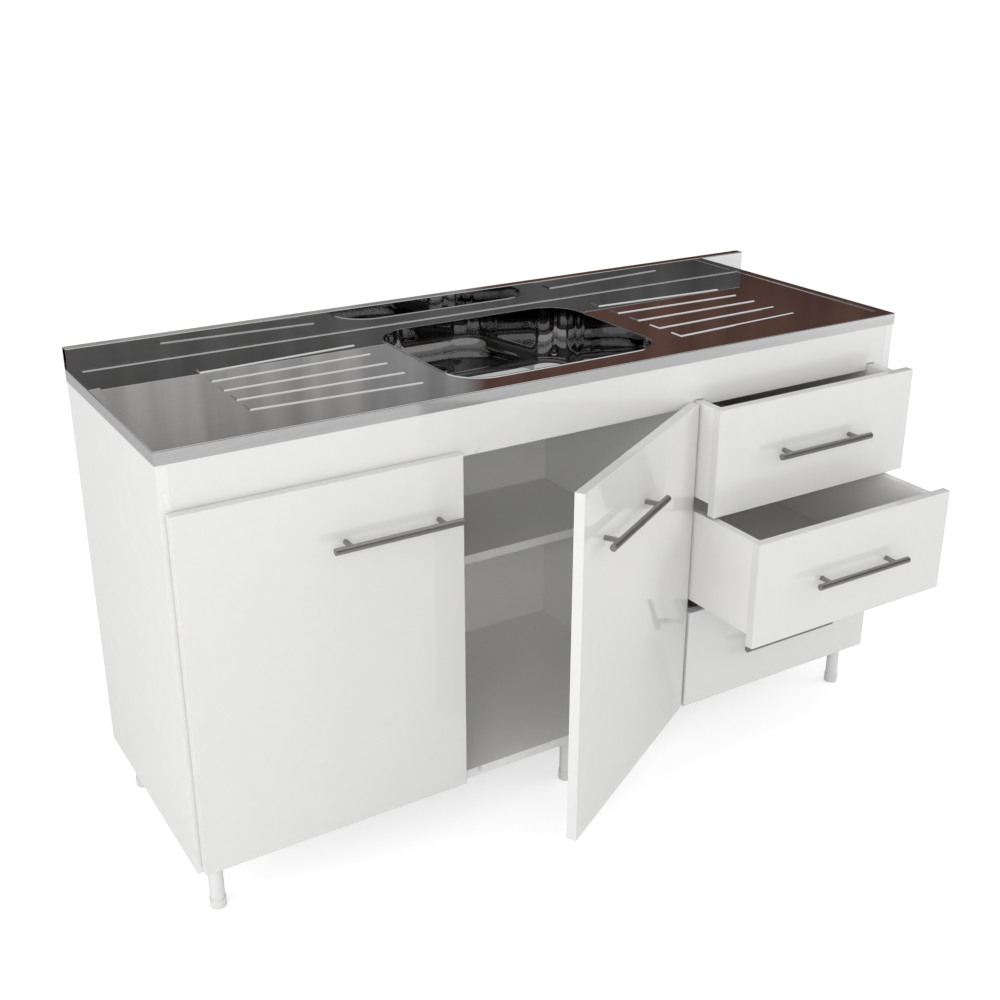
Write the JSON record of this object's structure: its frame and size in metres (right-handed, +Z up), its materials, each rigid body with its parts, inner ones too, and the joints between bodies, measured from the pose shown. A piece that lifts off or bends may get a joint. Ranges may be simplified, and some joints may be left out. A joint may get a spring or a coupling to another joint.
{
  "type": "kitchen sink unit",
  "caption": "Base cabinet on round legs under a pressed stainless worktop with a bowl between ribbed drainers, hinged doors at the left, stacked drawers at the right, bar handles",
  "frame": {"origin": "on the floor under the centre of the middle front foot", "axes": "+X along the unit's length towards the drawers, +Y from the front to the wall, +Z up"},
  "size_m": [1.5, 0.7436, 0.876],
  "materials": {
    "gloss_white_front": "high-gloss white lacquered board",
    "white_board": "white melamine-faced board, satin",
    "white_hardboard": "white-faced hardboard",
    "core_board": "raw chipboard",
    "stainless_sheet": "finely brushed stainless steel",
    "stainless_bowl": "satin stainless steel",
    "polished_stainless": "polished stainless steel",
    "grey_rubber": "matt rubber",
    "white_plastic": "moulded white plastic",
    "white_tube": "white powder-coated tube",
    "satin_handle": "satin brushed steel bar",
    "nickel_hinge": "nickel-plated steel",
    "zinc_runner": "zinc-plated sheet steel",
    "nylon_roller": "white nylon",
    "zinc_pin": "zinc-plated steel",
    "clear_buffer": "clear soft buffer"
  },
  "bodies": {
    "cabinet": {"back_panel": "white_hardboard", "bay_divider": "white_board", "bottom_panel": "white_board", "cabinet_rail_rollers": "nylon_roller", "cabinet_rails": "zinc_runner", "front_bumpers": "clear_buffer", "front_fascia": "white_board", "hinge_arms": "nickel_hinge", "hinge_plates": "nickel_hinge", "left_side_panel": "white_board", "leg_feet": "white_plastic", "leg_plates": "white_plastic", "leg_tubes": "white_tube", "rear_rail": "white_board", "right_side_panel": "white_board", "runner_packers": "white_board", "shelf": "white_board", "shelf_pins": "zinc_pin", "sink_bowl": "stainless_bowl", "steel_worktop": "stainless_sheet", "strainer_flange": "polished_stainless", "waste_gasket": "grey_rubber", "waste_nut": "white_plastic", "waste_tailpiece": "white_plastic", "worktop_core": "core_board"},
    "left_door": {"left_door_handle": "satin_handle", "left_door_hinge_cups": "nickel_hinge", "left_door_hinge_pins": "nickel_hinge", "left_door_panel": "gloss_white_front"},
    "right_door": {"right_door_handle": "satin_handle", "right_door_hinge_cups": "nickel_hinge", "right_door_hinge_pins": "nickel_hinge", "right_door_panel": "gloss_white_front"},
    "drawer_1": {"drawer_1_back": "white_board", "drawer_1_bottom": "white_board", "drawer_1_front": "gloss_white_front", "drawer_1_handle": "satin_handle", "drawer_1_left_side": "white_board", "drawer_1_right_side": "white_board", "drawer_1_rollers": "nylon_roller", "drawer_1_slides": "zinc_runner"},
    "drawer_2": {"drawer_2_back": "white_board", "drawer_2_bottom": "white_board", "drawer_2_front": "gloss_white_front", "drawer_2_handle": "satin_handle", "drawer_2_left_side": "white_board", "drawer_2_right_side": "white_board", "drawer_2_rollers": "nylon_roller", "drawer_2_slides": "zinc_runner"},
    "drawer_3": {"drawer_3_back": "white_board", "drawer_3_bottom": "white_board", "drawer_3_front": "gloss_white_front", "drawer_3_handle": "satin_handle", "drawer_3_left_side": "white_board", "drawer_3_right_side": "white_board", "drawer_3_rollers": "nylon_roller", "drawer_3_slides": "zinc_runner"},
    "strainer_basket": {"strainer_basket": "polished_stainless"}
  },
  "joints": [
    {"name": "left_door_hinge", "type": "hinge", "parent": "cabinet", "child": "left_door", "pos_m": [-0.733, -0.0415, 0.42275], "axis": [0, 0, -1], "range_deg": [0, 95]},
    {"name": "right_door_hinge", "type": "hinge", "parent": "cabinet", "child": "right_door", "pos_m": [0.23733, -0.0415, 0.42275], "axis": [0, 0, -1], "range_deg": [-60, 30]},
    {"name": "drawer_1_slide", "type": "slide", "parent": "cabinet", "child": "drawer_1", "axis": [0, -1, 0], "range_m": [-0.05, 0.25]},
    {"name": "drawer_2_slide", "type": "slide", "parent": "cabinet", "child": "drawer_2", "axis": [0, -1, 0], "range_m": [-0.1765, 0.1235]},
    {"name": "drawer_3_slide", "type": "slide", "parent": "cabinet", "child": "drawer_3", "axis": [0, -1, 0], "range_m": [0, 0.3]},
    {"name": "strainer_basket_lift", "type": "slide", "parent": "cabinet", "child": "strainer_basket", "axis": [0, 0, 1], "range_m": [0, 0.1]}
  ]
}
